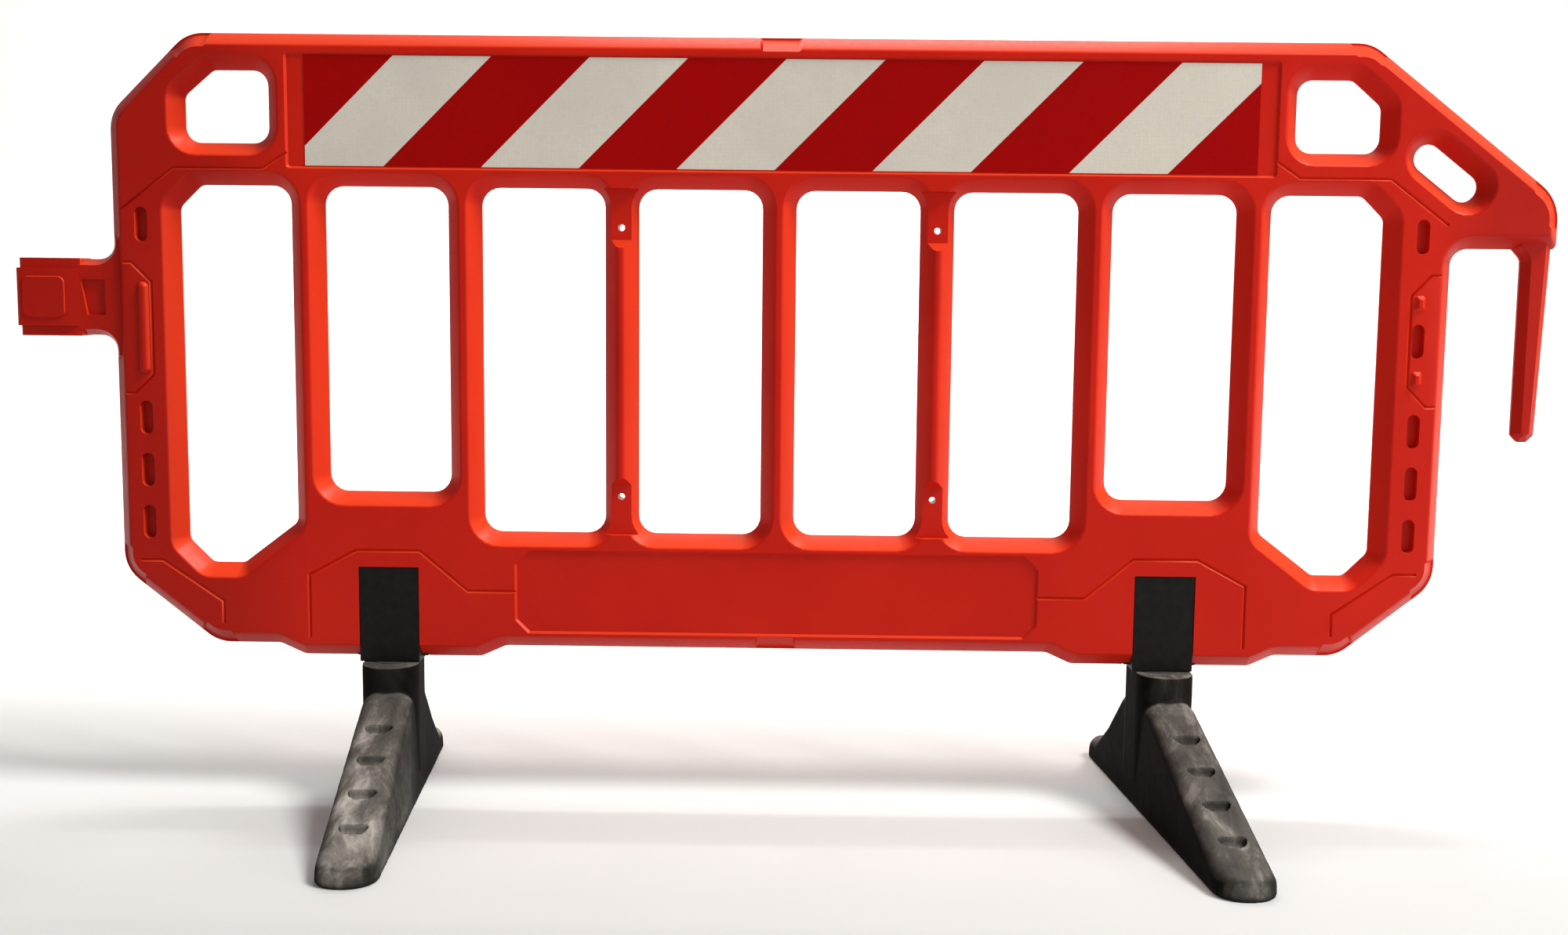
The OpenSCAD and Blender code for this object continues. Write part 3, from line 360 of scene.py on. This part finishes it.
def softened(name, node, body, least_bend_deg, width_mm, spared=None):
    """A copy of a CAD node with its bent edges rounded over, apart from those at spared places."""
    piece = welded_copy(name, node)
    bpy.ops.mesh.dissolve_limited(angle_limit=math.radians(FLAT_DEG))
    bpy.ops.mesh.select_mode(type="EDGE")
    bpy.ops.mesh.select_all(action="DESELECT")
    mesh = bmesh.from_edit_mesh(piece.data)
    skin = BVHTree.FromBMesh(mesh)
    chosen = {edge for edge in mesh.edges if edge.calc_length() > SHORTEST_EDGE_MM * MM
              and math.degrees(edge.calc_face_angle(0.0)) >= least_bend_deg}
    if spared:
        chosen = unbranched({edge for edge in chosen
                             if all((edge.verts[0].co - spot).length > reach for spot, reach in spared)})
    for edge in chosen:
        edge.select = True
    count = len(chosen)
    bmesh.update_edit_mesh(piece.data)
    bpy.ops.mesh.bevel(offset=width_mm * MM, segments=2, profile=0.5, affect="EDGES",
                       clamp_overlap=False, loop_slide=False)
    mesh = bmesh.from_edit_mesh(piece.data)
    set_back = 0
    for vertex in mesh.verts:
        spot, _, _, gap = skin.find_nearest(vertex.co)
        if gap > OVERSHOOT * width_mm * MM:
            vertex.co = spot
            set_back += 1
    bmesh.update_edit_mesh(piece.data)
    bpy.ops.mesh.select_all(action="SELECT")
    bpy.ops.mesh.faces_shade_smooth()
    bpy.ops.mesh.mark_sharp(clear=True)
    bpy.ops.mesh.select_all(action="DESELECT")
    bpy.ops.mesh.edges_select_sharp(sharpness=math.radians(CREASE_DEG))
    bpy.ops.mesh.mark_sharp()
    bpy.ops.object.mode_set(mode="OBJECT")
    even = piece.modifiers.new("even_normals", "WEIGHTED_NORMAL")
    even.keep_sharp = True
    bpy.ops.object.modifier_apply(modifier=even.name)
    hand_over(piece, node, body)
    print(name, "rounded", count, "edges by", width_mm, "mm, set back", set_back, "points")


# %% [markdown]
# On the panel the long slopes are already softened in the solid, so only its crisp edges are rounded:
# the slots, the notches, the pads and the openings. At the lug and at the nubs too many small faces
# meet for a round, and they keep their edges. The posts are rounded all over.

# %% Panel and posts
LUG = Vector((-0.96, 0.081, 0.66))
LUG_REACH = 0.08
NUBS = Vector((0.818, 0.056, 0.56))
NUBS_REACH = 0.1
softened("panel_moulding", "panel", "panel_body", least_bend_deg=62, width_mm=0.8,
         spared=[(LUG, LUG_REACH), (NUBS, NUBS_REACH)])
for side in ("left", "right"):
    softened("swivel_post_" + side, "post_" + side, "panel_body", least_bend_deg=25,
             width_mm=1.2)

# %% [markdown]
# A rubber foot is soft all over: its mould had no sharp corner, and boots and kerbs have worn it. The
# solid is laid out anew in small even faces, smoothed until every edge is round, and pressed in by
# fractions of a millimetre where wear has made it uneven. Wear only takes away, so nothing grows.

# %% Worn rubber feet
GRAIN_MM = 1.8
HOLLOW_MM = 22
WEAR_MM = 0.8
unevenness = bpy.data.textures.new("worn_rubber", "CLOUDS")
unevenness.noise_scale = HOLLOW_MM * MM
unevenness.noise_depth = 3
for side in ("left", "right"):
    foot = welded_copy("rubber_foot_" + side, "foot_" + side)
    bpy.ops.object.mode_set(mode="OBJECT")
    relaid = foot.modifiers.new("relaid", "REMESH")
    relaid.mode = "VOXEL"
    relaid.voxel_size = GRAIN_MM * MM
    rounded = foot.modifiers.new("rounded", "SMOOTH")
    rounded.factor = 0.5
    rounded.iterations = 2
    worn = foot.modifiers.new("worn", "DISPLACE")
    worn.texture = unevenness
    worn.texture_coords = "LOCAL"
    worn.mid_level = 1.0
    worn.strength = WEAR_MM * MM
    for step in (relaid, rounded, worn):
        bpy.ops.object.modifier_apply(modifier=step.name)
    bpy.ops.object.shade_smooth()
    hand_over(foot, "foot_" + side, side + "_foot")
    print(foot.name, "has", len(foot.data.polygons), "faces")

# %% [markdown]
# The stage is a pale floor that curves up behind the barrier into a backdrop, as a paper roll does in
# a studio. On the other sides it runs far out, so that its edge is hardly seen.

# %% Floor
FLOOR_SIZE = 45.0
BACKDROP_Y = 9.0
BACKDROP_HEIGHT = 9.0
CURVE_RADIUS = 3.0
CURVE_STEPS = 16
bpy.ops.object.select_all(action="DESELECT")
bpy.ops.mesh.primitive_plane_add(size=FLOOR_SIZE, location=(0, BACKDROP_Y - FLOOR_SIZE / 2, 0))
floor = bpy.context.object
floor.name = "studio_floor"
bpy.ops.object.transform_apply(location=True)
bpy.ops.object.mode_set(mode="EDIT")
bpy.ops.mesh.select_mode(type="EDGE")
bpy.ops.mesh.select_all(action="DESELECT")
mesh = bmesh.from_edit_mesh(floor.data)
for edge in mesh.edges:
    edge.select = all(corner.co.y > 0 for corner in edge.verts)
bmesh.update_edit_mesh(floor.data)
bpy.ops.mesh.extrude_region_move(TRANSFORM_OT_translate={"value": (0, 0, BACKDROP_HEIGHT)})
bpy.ops.mesh.select_all(action="DESELECT")
mesh = bmesh.from_edit_mesh(floor.data)
for edge in mesh.edges:
    edge.select = len(edge.link_faces) == 2
bmesh.update_edit_mesh(floor.data)
bpy.ops.mesh.bevel(offset=CURVE_RADIUS, segments=CURVE_STEPS, affect="EDGES")
bpy.ops.object.mode_set(mode="OBJECT")
bpy.ops.object.shade_smooth()
print("floor", FLOOR_SIZE, "m wide")

# %% [markdown]
# The floor wears a flat paint of a warm pale grey, with clouds so faint that they only keep it from
# looking like a blank.

# %% Paint of the floor
paint, tree, shader, place = start_material("pale_studio_paint", Roughness=0.9, Specular_IOR_Level=0.1)
cloud = add(tree, "ShaderNodeTexNoise", {"Vector": place, "Scale": per_metre(2500)})
shade = add(tree, "ShaderNodeValToRGB", {"Fac": cloud.outputs["Fac"]},
            stops=[(0.3, "#cdccc9"), (0.7, "#cac9c6")])
tree.links.new(shade.outputs["Color"], shader.inputs["Base Color"])
floor.data.materials.append(paint)
print("painted", floor.name)

# %% [markdown]
# In the photograph slopes that face right and up are bright and those that face left and down are
# dark, so the key light stands high on the right and only a little in front. A weak side light makes
# the right end brighter than the left, a light above and behind gives the upper slopes their sheen,
# another whitens the backdrop, and an even pale sky lifts the shadows.

# %% Light
def soft_light(name, place, aim, size, watts):
    data = bpy.data.lights.new(name, "AREA")
    data.shape = "DISK"
    data.size = size
    data.energy = watts
    lamp = bpy.data.objects.new(name, data)
    lamp.location = place
    lamp.rotation_euler = (Vector(aim) - Vector(place)).to_track_quat("-Z", "Y").to_euler()
    bpy.context.scene.collection.objects.link(lamp)
    print(name, watts, "W")


soft_light("key_light", (5.0, -1.75, 7.5), aim=(0.0, 0.0, 0.5), size=3.0, watts=890)
soft_light("side_light", (3.2, -2.2, 0.9), aim=(0.6, 0.0, 0.5), size=1.6, watts=26)
soft_light("sky_light", (0.4, 2.4, 4.6), aim=(0.0, 0.0, 0.6), size=2.5, watts=62)
soft_light("backdrop_light", (0.0, 3.0, 5.5), aim=(0.0, BACKDROP_Y, 1.5), size=4.0, watts=1100)
SKY_STRENGTH = 0.35
world = bpy.data.worlds.new("pale_sky")
world.use_nodes = True
sky = world.node_tree.nodes["Background"]
sky.inputs["Color"].default_value = linear("#ffffff")
sky.inputs["Strength"].default_value = SKY_STRENGTH
bpy.context.scene.world = world
bpy.context.scene.view_settings.view_transform = "Standard"
print("sky of strength", SKY_STRENGTH)
